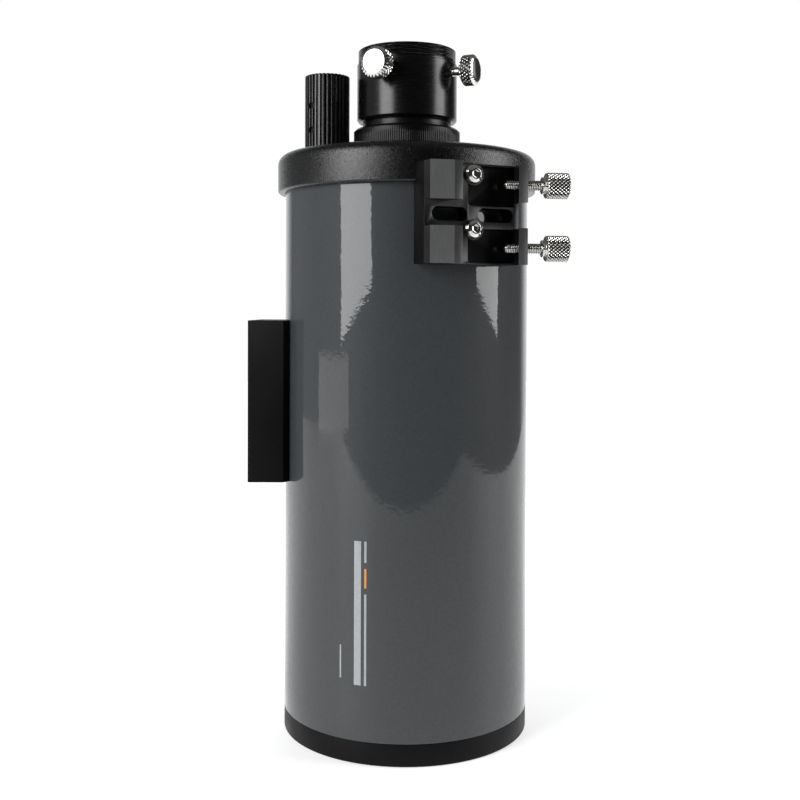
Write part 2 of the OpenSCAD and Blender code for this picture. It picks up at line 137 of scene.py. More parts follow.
class Shader:
    """A node material built up line by line."""

    def __init__(self, name, stretch=(1, 1, 1)):
        self.material = bpy.data.materials.new(name)
        self.material.use_nodes = True
        self.tree = self.material.node_tree
        self.shader = self.tree.nodes["Principled BSDF"]
        coordinates = self.tree.nodes.new("ShaderNodeTexCoord")
        self.object_place = coordinates.outputs["Object"]
        self.place = self.stretched(stretch)
        self.normal = None

    def link(self, source, target):
        self.tree.links.new(source, target)

    def set(self, **values):
        """Sets inputs of the main shader; an underscore stands for a space."""
        for name, value in values.items():
            self.shader.inputs[name.replace("_", " ")].default_value = value
        return self

    def stretched(self, scale):
        """The place in the object with its own scale along each axis."""
        mapping = self.tree.nodes.new("ShaderNodeMapping")
        mapping.inputs["Scale"].default_value = scale
        self.link(self.object_place, mapping.inputs["Vector"])
        return mapping.outputs["Vector"]

    def along(self, turn):
        """The distance from the axis towards a turn about it, in radians."""
        node = self.tree.nodes.new("ShaderNodeVectorMath")
        node.operation = "DOT_PRODUCT"
        node.inputs[1].default_value = (sin(turn), -cos(turn), 0)
        self.link(self.object_place, node.inputs[0])
        return node.outputs["Value"]

    def noise(self, scale, detail=3.0, rough=0.5, place=None):
        node = self.tree.nodes.new("ShaderNodeTexNoise")
        node.inputs["Scale"].default_value = scale
        node.inputs["Detail"].default_value = detail
        node.inputs["Roughness"].default_value = rough
        self.link(place or self.place, node.inputs["Vector"])
        return node.outputs["Fac"]

    def cells(self, scale):
        node = self.tree.nodes.new("ShaderNodeTexVoronoi")
        node.inputs["Scale"].default_value = scale
        self.link(self.place, node.inputs["Vector"])
        return node.outputs["Distance"]

    def remap(self, value, low, high, to_low, to_high):
        node = self.tree.nodes.new("ShaderNodeMapRange")
        for name, number in (("From Min", low), ("From Max", high), ("To Min", to_low),
                             ("To Max", to_high)):
            node.inputs[name].default_value = number
        self.link(value, node.inputs["Value"])
        return node.outputs["Result"]

    def vary(self, name, value, low, high, to_low, to_high):
        """Drives an input of the main shader with a texture."""
        self.link(self.remap(value, low, high, to_low, to_high), self.shader.inputs[name])
        return self

    def colour(self, value, first, second, low=0.3, high=0.7):
        """Base colour between two tones, where a texture goes from low to high."""
        ramp = self.tree.nodes.new("ShaderNodeValToRGB")
        ramp.color_ramp.elements[0].position = low
        ramp.color_ramp.elements[1].position = high
        ramp.color_ramp.elements[0].color = (*first, 1)
        ramp.color_ramp.elements[1].color = (*second, 1)
        self.link(value, ramp.inputs["Fac"])
        self.link(ramp.outputs["Color"], self.shader.inputs["Base Color"])
        return self

    def bump(self, height, strength, depth):
        """Adds relief of that depth, in metres, to the base; bump_coat passes it on to the coat."""
        node = self.tree.nodes.new("ShaderNodeBump")
        node.inputs["Strength"].default_value = strength
        node.inputs["Distance"].default_value = depth
        self.link(height, node.inputs["Height"])
        if self.normal:
            self.link(self.normal, node.inputs["Normal"])
        self.normal = node.outputs["Normal"]
        self.link(self.normal, self.shader.inputs["Normal"])
        return self

    def bump_coat(self):
        self.link(self.normal, self.shader.inputs["Coat Normal"])
        return self


def grey(value, blue=0.0):
    return (value, value * (1 + blue * 0.5), value * (1 + blue))


def enamel():
    """Grey stove enamel under a clear gloss that is faintly wavy."""
    s = Shader("tube_enamel")
    s.colour(s.noise(900, 4), (0.036, 0.0395, 0.0425), (0.043, 0.047, 0.0505))
    s.set(Metallic=0.0, Coat_Weight=1.0, Coat_IOR=1.38, Specular_IOR_Level=0.1)
    s.vary("Roughness", s.noise(300), 0.3, 0.7, 0.42, 0.5)
    s.vary("Coat Roughness", s.noise(60), 0.3, 0.7, 0.025, 0.05)
    waves = s.noise(26, 2.0, 0.4, s.stretched((1.0, 1.0, 0.35)))
    s.bump(waves, 0.6, 0.0006)
    s.bump(s.noise(520, 2.0), 0.35, 0.00005)
    s.bump_coat()
    return s.material


def powder_coat():
    """Black powder coat with a fine orange-peel grain."""
    s = Shader("cell_powder_coat")
    s.colour(s.noise(2200, 3), grey(0.001), grey(0.0025))
    s.set(Specular_IOR_Level=0.48)
    s.vary("Roughness", s.noise(1500, 3), 0.3, 0.7, 0.2, 0.3)
    s.bump(s.noise(1900, 2.5, 0.6), 0.9, 0.00017)
    s.bump(s.cells(2600), 0.35, 0.00008)
    return s.material


def satin_black():
    """Satin black paint on the front cell, with a few faint rub marks."""
    s = Shader("front_satin_black")
    s.colour(s.noise(500, 4), grey(0.001), grey(0.002))
    s.set(Specular_IOR_Level=0.12)
    s.vary("Roughness", s.noise(90, 5), 0.3, 0.7, 0.33, 0.47)
    s.bump(s.noise(1800, 2), 0.3, 0.00006)
    return s.material


def flat_black():
    s = Shader("flat_black_paint")
    s.colour(s.noise(1300, 4), grey(0.006), grey(0.012))
    s.set(Specular_IOR_Level=0.25)
    s.vary("Roughness", s.noise(700), 0.3, 0.7, 0.75, 0.9)
    s.bump(s.noise(2500, 2), 0.4, 0.00008)
    return s.material


def anodised(name, tone, rough, lines=0.3, stretch=(1, 1, 30), level=0.5, blue=0.0):
    """Dyed anodised aluminium with fine tool lines round the part, or along it."""
    s = Shader(name, stretch)
    fine = s.noise(160, 4, 0.6)
    s.colour(s.noise(500, 3, 0.5, s.object_place), grey(tone * 0.8, blue), grey(tone * 1.25, blue))
    s.set(Specular_IOR_Level=level)
    s.vary("Roughness", fine, 0.3, 0.7, rough - 0.05, rough + 0.06)
    s.bump(fine, lines, 0.00003)
    return s.material


def bead_blasted(name, tone, rough, level):
    s = Shader(name)
    s.set(Specular_IOR_Level=level)
    s.colour(s.noise(2600, 3), grey(tone * 0.75), grey(tone * 1.3))
    s.vary("Roughness", s.noise(120, 4), 0.3, 0.7, rough - 0.05, rough + 0.05)
    s.bump(s.noise(3200, 2), 0.5, 0.00006)
    return s.material


def groove_shadow():
    """Painted shade: dull, dark metal at the bottom of the grooves of knurls and threads, where
    shade falls.
    """
    s = Shader("knurl_groove_painted_shade")
    s.colour(s.noise(900, 3), grey(0.02), grey(0.05))
    s.set(Metallic=1.0)
    s.vary("Roughness", s.noise(500), 0.3, 0.7, 0.4, 0.55)
    s.bump(s.noise(1500, 2), 0.2, 0.00003)
    return s.material


def shoe_finish():
    """Black anodised shoe, with painted shade in its two recesses, which are also duller, and
    painted highlights on its rails' top faces and on the sloped outer face of its left rail.
    """
    s = Shader("shoe_anodised", (25, 25, 1))
    turn = radians(SHOE_TURN)
    out = s.remap(s.along(turn), (SHOE_FLOOR - 1.6) * MM, (SHOE_FLOOR + 7.0) * MM, 0, 1)
    # By distance out from the channel floor: painted shade darkens the recesses, a painted highlight
    # lightens the rails' top faces
    ramp = s.tree.nodes.new("ShaderNodeValToRGB")
    recess_shade_and_top_highlight_stops = ((0.0, 0.0012), (0.12, 0.0012), (0.17, 0.002), (0.985, 0.003), (0.995, 0.03))
    while len(ramp.color_ramp.elements) < len(recess_shade_and_top_highlight_stops):
        ramp.color_ramp.elements.new(0.5)
    for element, (place, tone) in zip(ramp.color_ramp.elements, recess_shade_and_top_highlight_stops):
        element.position = place
        element.color = (*grey(tone, 0.03), 1)
    s.link(out, ramp.inputs["Fac"])
    grain = s.noise(160, 4, 0.6)
    patchy = s.tree.nodes.new("ShaderNodeMix")
    patchy.data_type = "RGBA"
    patchy.blend_type = "MULTIPLY"
    patchy.inputs["Factor"].default_value = 1.0
    shade = s.tree.nodes.new("ShaderNodeCombineColor")
    for name in ("Red", "Green", "Blue"):
        s.link(s.remap(grain, 0.3, 0.7, 0.85, 1.15), shade.inputs[name])
    # Painted highlight on the sloped outer face of the left rail
    facet = s.along(turn - FACET_TILT)
    facet_painted_highlight = s.tree.nodes.new("ShaderNodeMix")
    facet_painted_highlight.data_type = "RGBA"
    facet_painted_highlight.inputs["B"].default_value = (*grey(0.082, 0.03), 1)
    s.link(s.remap(facet, FACET_REACH - 0.00008, FACET_REACH - 0.00004, 0, 1),
           facet_painted_highlight.inputs["Factor"])
    s.link(ramp.outputs["Color"], facet_painted_highlight.inputs["A"])
    s.link(facet_painted_highlight.outputs["Result"], patchy.inputs["A"])
    s.link(shade.outputs["Color"], patchy.inputs["B"])
    s.link(patchy.outputs["Result"], s.shader.inputs["Base Color"])
    s.vary("Specular IOR Level", out, 0.12, 0.17, 0.08, 0.38)
    s.vary("Roughness", grain, 0.3, 0.7, 0.33, 0.43)
    s.bump(grain, 0.3, 0.00003)
    return s.material


def plated():
    """Bright nickel plate with faint clouding and handling marks."""
    s = Shader("bright_nickel")
    s.colour(s.noise(700, 3), (0.66, 0.645, 0.62), (0.78, 0.77, 0.75))
    s.set(Metallic=1.0)
    s.vary("Roughness", s.noise(420, 5), 0.3, 0.7, 0.08, 0.17)
    s.bump(s.noise(1500, 2), 0.15, 0.00003)
    return s.material


def turned_metal(name, first, second, rough, lines=0.35):
    """Bare metal with fine rings left by the lathe."""
    s = Shader(name, (1, 1, 25))
    s.colour(s.noise(90, 5), first, second)
    s.set(Metallic=1.0)
    s.vary("Roughness", s.noise(200, 3), 0.3, 0.7, rough - 0.06, rough + 0.08)
    s.bump(s.noise(220, 3), lines, 0.00003)
    return s.material


def black_oxide():
    s = Shader("black_oxide_steel")
    s.colour(s.noise(900, 4), grey(0.018), grey(0.04))
    s.set(Metallic=0.8)
    s.vary("Roughness", s.noise(500), 0.3, 0.7, 0.3, 0.45)
    s.bump(s.noise(1500), 0.3, 0.00004)
    return s.material


def knob_plastic():
    """Satin black knob, a little rubbed on its ribs."""
    s = Shader("knob_black")
    s.colour(s.noise(800, 4), grey(0.005), grey(0.009))
    s.vary("Roughness", s.noise(240, 4), 0.3, 0.7, 0.24, 0.36)
    s.bump(s.noise(1600, 2), 0.25, 0.00004)
    return s.material


def moulded_plastic(name, first, second, rough):
    s = Shader(name)
    s.colour(s.noise(600, 4), first, second)
    s.vary("Roughness", s.noise(300), 0.3, 0.7, rough - 0.06, rough + 0.06)
    s.bump(s.noise(1700, 2), 0.4, 0.00006)
    return s.material


def coated_glass():
    """Clear corrector glass with a faint green and violet coating."""
    s = Shader("coated_glass")
    s.colour(s.noise(20), (0.92, 0.96, 0.94), (0.95, 0.96, 0.98))
    s.set(Transmission_Weight=1.0, IOR=1.52, Thin_Film_Thickness=380.0, Thin_Film_IOR=1.33)
    s.vary("Roughness", s.noise(80), 0.3, 0.7, 0.0, 0.012)
    return s.material


def aluminised():
    """Aluminised glass with a slight haze."""
    s = Shader("aluminised_surface")
    s.colour(s.noise(60, 4), (0.84, 0.85, 0.86), (0.9, 0.9, 0.91))
    s.set(Metallic=1.0)
    s.vary("Roughness", s.noise(150, 4), 0.3, 0.7, 0.015, 0.05)
    return s.material


def cork():
    s = Shader("cork_sheet")
    s.colour(s.cells(900), (0.22, 0.12, 0.06), (0.5, 0.32, 0.18), 0.1, 0.6)
    s.vary("Roughness", s.noise(400), 0.3, 0.7, 0.8, 0.95)
    s.bump(s.cells(900), 0.6, 0.0002)
    return s.material


def marking_ink(name, first, second):
    """Screen-printed ink, very slightly uneven."""
    s = Shader(name)
    s.colour(s.noise(1400, 4), first, second)
    s.vary("Roughness", s.noise(500), 0.3, 0.7, 0.3, 0.42)
    s.bump(s.noise(2400, 2), 0.2, 0.00003)
    return s.material


MATERIALS = {
    "tube_paint": enamel(),
    "satin_black": satin_black(),
    "lens_glass": coated_glass(),
    "mirror_coat": aluminised(),
    "mirror_glass": aluminised(),
    "flat_black": flat_black(),
    "cap_plastic": moulded_plastic("cap_black", grey(0.006), grey(0.011), 0.5),
    "cell_paint": powder_coat(),
    "anodised_black": anodised("anodised_satin", 0.002, 0.3, 0.3, level=0.25),
    "anodised_gloss": anodised("anodised_polished", 0.002, 0.24, 0.05, level=0.38),
    "knurled_black": anodised("anodised_knurled", 0.0012, 0.3, level=0.22),
    "shoe_anodised": shoe_finish(),
    "bar_anodised": bead_blasted("bar_anodised", 0.0008, 0.5, 0.14),
    "bare_aluminium": turned_metal("turned_aluminium", grey(0.55), grey(0.66), 0.3),
    "cork": cork(),
    "steel": turned_metal("turned_steel", grey(0.42), grey(0.52), 0.3),
    "black_steel": black_oxide(),
    "brass": turned_metal("turned_brass", (0.62, 0.44, 0.18), (0.74, 0.56, 0.26), 0.26),
    "nylon": moulded_plastic("natural_nylon", grey(0.62), grey(0.72), 0.45),
    "knob_black": knob_plastic(),
    "nickel": plated(),
}
# Painted shade for the deep faces of knurls and threads
GROOVE_PAINTED_SHADE = groove_shadow()
SLOT_OF = {row["node"]: row["material_slot"] for row in frame["record"]["subparts"]}
BODY_OF = {node: body for body, nodes in frame["record"]["behaviour"]["bodies"].items()
           for node in nodes}


# ---------------------------------------------------------------- mesh helpers

def rounded(points, steps=4):
    """Corner points (x, y, radius) as an outline whose corners are arcs."""
    out = []
    for i, (x, y, radius) in enumerate(points):
        corner = Vector((x, y))
        if radius == 0:
            out.append((x, y))
            continue
        back = (Vector(points[i - 1][:2]) - corner).normalized()
        ahead = (Vector(points[(i + 1) % len(points)][:2]) - corner).normalized()
        half = back.angle(ahead) / 2
        centre = corner + (back + ahead).normalized() * radius / sin(half)
        first = corner + back * radius / tan(half) - centre
        last = corner + ahead * radius / tan(half) - centre
        start = atan2(first.y, first.x)
        turn = (atan2(last.y, last.x) - start + pi) % TAU - pi
        for k in range(steps + 1):
            angle = start + turn * k / steps
            out.append((centre.x + radius * cos(angle), centre.y + radius * sin(angle)))
    return out


def divided(outline, step, low=None, high=None):
    """An outline with extra points along its long sides, between two heights if they are given."""
    out = []
    for i, (r, z) in enumerate(outline):
        r2, z2 = outline[(i + 1) % len(outline)]
        out.append((r, z))
        inside = low is None or (min(z, z2) >= low - 1e-6 and max(z, z2) <= high + 1e-6)
        count = ceil(hypot(r2 - r, z2 - z) / step) if inside else 1
        for k in range(1, count):
            out.append((r + (r2 - r) * k / count, z + (z2 - z) * k / count))
    return out


def turned(outline, segments, shape=None):
    """Vertices and faces of a closed outline (r, z) turned about Z, in metres.
    shape(r, z, angle) gives the radius at a point, for flutes, knurls and threads."""
    vertices = []
    for i in range(segments):
        angle = TAU * i / segments
        for r, z in outline:
            radius = shape(r, z, angle) if shape else r
            vertices.append((radius * MM * cos(angle), radius * MM * sin(angle), z * MM))
    count = len(outline)
    faces = []
    for i in range(segments):
        here, there = i * count, ((i + 1) % segments) * count
        for k in range(count):
            k2 = (k + 1) % count
            faces.append((here + k, there + k, there + k2, here + k2))
    return vertices, faces


def new_piece(name, data, material, sharp=35.0, place=None):
    """A mesh object from vertices and faces, with sharp edges above an angle in degrees."""
    mesh = bpy.data.meshes.new(name)
    vertices, faces = data
    mesh.from_pydata(vertices, [], faces)
    work = bmesh.new()
    work.from_mesh(mesh)
    bmesh.ops.remove_doubles(work, verts=work.verts, dist=2e-7)
    bmesh.ops.dissolve_degenerate(work, dist=1e-8, edges=work.edges)
    bmesh.ops.recalc_face_normals(work, faces=work.faces)
    work.to_mesh(mesh)
    work.free()
    if place:
        mesh.transform(place)
    mesh.shade_smooth()
    mesh.set_sharp_from_angle(angle=radians(sharp))
    mesh.materials.append(material)
    piece = bpy.data.objects.new(name, mesh)
    bpy.context.scene.collection.objects.link(piece)
    return piece


def joined(*parts):
    """Several (vertices, faces) as one."""
    vertices, faces = [], []
    for part_vertices, part_faces in parts:
        base = len(vertices)
        vertices += part_vertices
        faces += [tuple(base + i for i in face) for face in part_faces]
    return vertices, faces


def stands_for(piece, node):
    """The piece rides with its CAD node's body and replaces it."""
    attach(piece, BODY_OF[node])
    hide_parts(node)
    return piece


def detailed(node, data, sharp=35.0, place=None):
    """A mesh that stands for a CAD node, in that node's material."""
    piece = new_piece(node + "_detail", data, MATERIALS[SLOT_OF[node]], sharp, place)
    return stands_for(piece, node)


def baked(piece):
    """Applies a piece's modifiers to its mesh."""
    bpy.context.view_layer.update()
    result = bpy.data.meshes.new_from_object(
        piece.evaluated_get(bpy.context.evaluated_depsgraph_get()))
    piece.modifiers.clear()
    piece.data = result
    return piece


def rod_mesh(start, end, radius, sides=64):
    """A closed rod between two points in millimetres, for cutting holes."""
    length = (end - start).length
    vertices, faces = turned([(0, 0), (radius, 0), (radius, length), (0, length)], sides)
    turn = (end - start).to_track_quat("Z", "Y").to_matrix().to_4x4()
    place = Matrix.Translation(start * MM) @ turn
    return [place @ Vector(v) for v in vertices], faces


def drilled(piece, *rods):
    """Cuts round holes, each (start, end, radius) in millimetres, through a piece."""
    for start, end, radius in rods:
        cutter = new_piece("cutter", rod_mesh(start, end, radius), None)
        cut = piece.modifiers.new("hole", "BOOLEAN")
        cut.operation = "DIFFERENCE"
        cut.solver = "EXACT"
        cut.object = cutter
        baked(piece)
        bpy.data.objects.remove(cutter)
    piece.data.shade_smooth()
    piece.data.set_sharp_from_angle(angle=radians(35))
    return piece


def softened(node, width, segments=2, angle=25.0):
    """A copy of a CAD node whose hard edges are slightly rounded."""
    source = frame["nodes"][node]
    mesh = source.data.copy()
    work = bmesh.new()
    work.from_mesh(mesh)
    bmesh.ops.remove_doubles(work, verts=work.verts, dist=2e-6)
    bmesh.ops.dissolve_limit(work, angle_limit=radians(0.6), verts=work.verts,
                             edges=work.edges, delimit={"SHARP"})
    work.to_mesh(mesh)
    work.free()
    mesh.shade_smooth()
    mesh.materials.clear()
    mesh.materials.append(MATERIALS[SLOT_OF[node]])
    piece = bpy.data.objects.new(node + "_detail", mesh)
    bpy.context.scene.collection.objects.link(piece)
    bevel = piece.modifiers.new("edges", "BEVEL")
    bevel.width = width * MM
    bevel.segments = segments
    bevel.limit_method = "ANGLE"
    bevel.angle_limit = radians(angle)
    bevel.harden_normals = True
    baked(piece)
    return stands_for(piece, node)


def shoe_point(u, v, z):
    """A point in the finder shoe's own frame: u across, v out from its floor, in millimetres."""
    turn = radians(SHOE_TURN)
    reach = SHOE_FLOOR + v
    return Vector((u * cos(turn) + reach * sin(turn), u * sin(turn) - reach * cos(turn), z))


def outward(turn, reach, z):
    """A point at a turn and a distance from the optical axis, in millimetres."""
    return Vector((reach * sin(radians(turn)), -reach * cos(radians(turn)), z))


def along(start, end):
    """The placement that puts Z at start, pointing to end, for points in millimetres."""
    turn = (end - start).to_track_quat("Z", "Y").to_matrix().to_4x4()
    return Matrix.Translation(start * MM) @ turn


# ---------------------------------------------------------------- tube and cells

def tube():
    inner = TUBE_R - TUBE_WALL
    low, high = span("tube", "z")
    outline = rounded([(inner, low, 0), (TUBE_R, low, 0.15), (TUBE_R, high, 0.2),
                       (inner, high, 0.2)])
    outline = divided(outline, 12)
    return detailed("tube", turned(outline, 288))


def tube_holes(piece):
    """The holes of the lower shoe screw and of the bar's two screws."""
    bar_low, bar_high = span("dovetail_bar", "z")
    middle = (bar_low + bar_high) / 2
    screw_z = SHOE_SCREW_Z[1]
    rods = [(shoe_point(SHOE_SCREW_U, -2, screw_z), shoe_point(SHOE_SCREW_U, -12, screw_z), 2.05)]
    for z in (middle - 22, middle + 22):
        rods.append((Vector((-48, 0, z)), Vector((-54, 0, z)), 2.55))
    return drilled(piece, *rods)


def front_cell():
    """Black band round the front, with the lens seat and the spigot inside."""
    bottom, top = span("front_cell", "z")
    outline = rounded([
        (48.95, bottom, 0.5), (TUBE_R, bottom, 0.7), (TUBE_R, BAND_TOP, 0.2),
        (TUBE_R - 1.55, BAND_TOP, 0), (TUBE_R - 1.55, top, 0.3), (45.5, top, 0.3),
        (45.5, 20, 0), (47.6, 20, 0), (47.6, 6.5, 0.3), (48.95, 6.5, 0)])
    return detailed("front_cell", turned(outline, 288))


def rear_cell():
    """Casting with a rounded back edge, a lip at its lower end and the focuser's bush hole."""
    plate = CELL_HIGH - 6.5
    bore = 19.4
    skirt = TUBE_R + 0.05
    outline = rounded([
        (bore, plate, 0), (TUBE_R - TUBE_WALL, plate, 0), (skirt, plate, 0),
        (skirt, CELL_LOW, 0.35), (CELL_R - 0.1, CELL_LOW, 1.0), (CELL_R, CELL_HIGH, 4.5),
        (bore, CELL_HIGH, 0.4)], 7)
    piece = detailed("rear_cell", turned(outline, 288))
    knob_axis = Vector((KNOB_X, 0, 0))
    top = shoe_point(SHOE_SCREW_U, 4, SHOE_SCREW_Z[0])
    return drilled(piece, (knob_axis + Vector((0, 0, plate - 3)),
                           knob_axis + Vector((0, 0, CELL_HIGH + 3)), 8.5),
                   (top, shoe_point(SHOE_SCREW_U, -14, SHOE_SCREW_Z[0]), 2.05))


# The printed lines: name, first and last turn, lowest and highest place, ink
STRIPES = (
    ("stripe_long", -22.6, -19.4, 31, 87.5, "white"),
    ("stripe_slim", -17.9, -16.9, 31, 66.8, "white"),
    ("stripe_accent", -17.9, -16.9, 69.2, 76.8, "orange"),
    ("stripe_top", -17.9, -16.9, 79.2, 87.5, "white"),
    ("stripe_small", -29.6, -28.9, 33, 46, "white"),
)


def curved_slab(first, last, low, high, rows=6):
    """A thin closed slab on the tube's surface between two turns and two heights."""
    columns = max(2, ceil((last - first) / 0.4))
    vertices = []
    for layer in (TUBE_R + 0.03, TUBE_R - 0.05):
        for k in range(rows + 1):
            for c in range(columns + 1):
                turn = first + (last - first) * c / columns
                vertices.append(outward(turn, layer, low + (high - low) * k / rows) * MM)
    line = columns + 1
    size = (rows + 1) * line
    faces = []
    for k in range(rows):
        for c in range(columns):
            a = k * line + c
            faces.append((a, a + 1, a + 1 + line, a + line))
            faces.append((size + a, size + a + line, size + a + line + 1, size + a + 1))
        for c in (0, columns):
            a = k * line + c
            faces.append((a, a + line, size + a + line, size + a))
    for c in range(columns):
        for k in (0, rows):
            a = k * line + c
            faces.append((a, a + 1, size + a + 1, size + a))
    return vertices, faces


def marking():
    """Printed lines and a short orange one, in place of lettering, on the tube's front."""
    inks = {"white": marking_ink("ink_white", (0.3, 0.315, 0.325), (0.36, 0.375, 0.39)),
            "orange": marking_ink("ink_orange", (0.55, 0.22, 0.04), (0.62, 0.26, 0.05))}
    for name, first, last, low, high, ink in STRIPES:
        piece = new_piece(name, curved_slab(first, last, low, high), inks[ink])
        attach(piece, "optical_tube")


# ---------------------------------------------------------------- visual back

def port_lock_ring():
    low, high = span("port_lock_ring", "z")
    outer = radius_of("port_lock_ring")
    outline = rounded([(19.4, low, 0), (outer, low, 0.1), (outer, high, 0.35), (19.4, high, 0.2)])
    return detailed("port_lock_ring", turned(outline, 192))


def collar_ring():
    """Threaded collar with a fine straight knurl between two plain chamfers."""
    low, high = span("collar_ring", "z")
    outer = radius_of("collar_ring")
    ridges = 150
    outline = rounded([(19.4, low, 0.2), (outer - 0.3, low, 0), (outer, low + 0.4, 0),
                       (outer, high - 1, 0), (outer - 1, high, 0.1), (17.7, high, 0.2),
                       (17.7, high - 2.6, 0), (19.4, high - 2.6, 0)], 2)
    outline = divided(outline, 1.6, low + 0.3, high - 0.9)

    def shape(r, z, angle):
        if r < outer - 0.05 or z > high - 1.02:
            return r
        return r - 0.11 + 0.11 * abs(cos(angle * ridges / 2)) ** 0.7

    return detailed("collar_ring", turned(outline, ridges * 6, shape), 28)


def holder_sleeve():
    low, high = span("holder_sleeve", "z")
    neck_low, barrel_low = high - 6.6, high - 3.7
    flange_top = low + 2.45
    outline = rounded([
        (14.5, low, 0.3), (19.2, low, 0.2), (19.2, flange_top, 0.2), (17.6, flange_top, 0),
        (17.6, neck_low, 0), (19, neck_low, 0.2), (19, barrel_low, 0.15),
        (18.5, barrel_low, 0), (18.5, high, 0.3), (14.5, high, 0.3)], 3)
    return detailed("holder_sleeve", turned(outline, 192))


def eyepiece_holder():
    """Polished barrel with a chamfered foot, a 0.75 mm thread on its rim and the two thumbscrew
    holes.
    """
    low, high = span("eyepiece_holder", "z")
    barrel = radius_of("eyepiece_holder")
    rim = barrel - 0.5
    shoulder = high - 5.9
    pitch = 0.75
    thread_low, thread_high = shoulder + 0.7, high - 0.3
    outline = rounded([
        (18.55, low, 0.1), (barrel - 0.9, low, 0.1), (barrel, low + 0.9, 0.15),
        (barrel, shoulder, 0.35), (rim - 0.35, shoulder, 0), (rim - 0.35, thread_low, 0),
        (rim, thread_low + 0.1, 0), (rim, thread_high, 0), (rim - 0.4, high, 0.05),
        (16.6, high, 0.1), (15.95, high - 0.7, 0), (15.95, low + 3.7, 0),
        (18.55, low + 3.7, 0)], 3)
    outline = divided(outline, 0.09, thread_low + 0.05, high - 0.25)

    def shape(r, z, angle):
        if r < rim - 0.02 or z < thread_low + 0.05 or z > thread_high + 0.01:
            return r
        phase = (z / pitch + angle / TAU) % 1.0
        fade = min(1.0, (z - thread_low) / 0.4, (thread_high - z) / 0.15 + 0.2)
        return r - 0.34 * fade * (1 - abs(2 * phase - 1)) ** 1.2

    piece = detailed("eyepiece_holder", turned(outline, 192, shape), 40)
    rods = [(outward(turn, 14, THUMB_Z), outward(turn, 24, THUMB_Z), 2.06)
            for turn in THUMB_TURNS.values()]
    return drilled(piece, *rods)


# ---------------------------------------------------------------- focus knob

def focus_knob():
    """Knob with 32 flat ribs between narrow grooves, and two grub-screw holes."""
    outer = 9.6
    flutes = 32
    samples = 20
    outline = rounded([
        (5.02, KNOB_LOW, 0.1), (outer, KNOB_LOW, 0.4), (outer, KNOB_HIGH, 0.55),
        (0, KNOB_HIGH, 0), (0, 272, 0), (5.02, 272, 0)], 4)
    outline = divided(outline, 4)

    def shape(r, z, angle):
        if r < outer - 1.2:
            return r
        phase = abs((angle * flutes / TAU) % 1.0 - 0.5) * 2
        depth = 0.75 * max(0.0, min(1.0, (phase - 0.52) / 0.22))
        edge = 0.1 * max(0.0, min(1.0, (phase - 0.34) / 0.18))
        room = min(1.0, (r - outer + 1.2) / 0.6)
        return r - (depth + edge) * room

    piece = detailed("focus_knob", turned(outline, flutes * samples, shape), 38,
                     Matrix.Translation((KNOB_X * MM, 0, 0)))
    axis = Vector((KNOB_X, 0, 0))
    rods = [(axis + outward(GRUB_TURN, 4, z), axis + outward(GRUB_TURN, 11, z), 1.52)
            for z in GRUB_Z]
    return drilled(piece, *rods)


# ---------------------------------------------------------------- screws

def thread(length, depth=0.42):
    """An M4 threaded rod from Z 0 to length whose first end is pointed."""
    core = M4_R - depth
    outline = [(0, 0), (core * 0.55, 0), (core, M4_POINT), (core, length), (0, length)]
    outline = divided(outline, 0.07, 0.0, length)
    outline = [p for p in outline if p[0] > 0 or p[1] in (0, length)]

    def shape(r, z, angle):
        if r < core - 1e-3 or z < M4_POINT:
            return r
        phase = (z / M4_PITCH - angle / TAU) % 1.0
        fade = min(1.0, (z - M4_POINT) / 0.5)
        return core + depth * fade * min(1.0, 1.35 * (1 - abs(2 * phase - 1)))

    return turned(outline, 48, shape)


def diamond_knurl(radius, low, high, around, depth=0.45):
    """Knurled band of a head: a lattice of blunt pyramids between two chamfers."""
    rows = 2 * max(2, round((high - low) / (TAU * radius / around) * 0.9))
    grid = 4

    def shape(r, z, angle):
        if r < radius - 0.02:
            return r
        x = angle * around / TAU
        y = (z - low) / (high - low) * rows / 2
        left = abs((x + y) % 1.0 - 0.5) * 2
        right = abs((x - y) % 1.0 - 0.5) * 2
        groove = max(left, right)
        return r - depth * max(0.0, (groove - 0.2) / 0.8)

    step = (high - low) / (rows * grid)
    return shape, step, around * grid * 2


def paint_groove_shade(piece, start, ahead, low, high, limit):
    """Gives the groove faces of a knurled head or a thread, nearer its axis than a limit, a second
    material: painted shade.
    """
    # Faces deep in the grooves take the painted-shade material
    piece.data.materials.append(GROOVE_PAINTED_SHADE)
    axis = (ahead - start).normalized()
    for face in piece.data.polygons:
        offset = face.center / MM - start
        height = offset.dot(axis)
        if low < height < high and (offset - axis * height).length < limit:
            face.material_index = 1
    return piece


def thumb_head(side):
    """Holder thumbscrew's head: narrow hub, knurled rim, bevel and a dished, polished end."""
    node = side + "_screw_head"
    hub, hub_r, width, radius, face_r = 0.8, 5.0, 6.4, 6.5, 5.0
    bore, bore_end = 2.05, 5.05
    low, high = hub + 0.3, 5.2
    shape, step, segments = diamond_knurl(radius, low, high, 26)
    outline = rounded([
        (bore, 0, 0.1), (hub_r, 0, 0.2), (hub_r, hub, 0), (radius - 0.3, hub, 0),
        (radius, low, 0), (radius, high, 0), (face_r, width, 0.1)], 2)
    outline = divided(outline, step, low - 1e-3, high + 1e-3)
    dish_r, dish = face_r - 0.35, 0.27
    for k in range(9):
        r = dish_r * (1 - k / 8)
        outline.append((r, width - 0.03 - dish * (1 - (r / dish_r) ** 2)))
    outline += [(0, bore_end), (bore, bore_end)]
    turn = THUMB_TURNS[side]
    start, ahead = outward(turn, THUMB_HEAD, THUMB_Z), outward(turn, FAR, THUMB_Z)
    piece = detailed(node, turned(outline, segments, shape), 40, along(start, ahead))
    return paint_groove_shade(piece, start, ahead, low, high, radius - KNURL_SHADE)


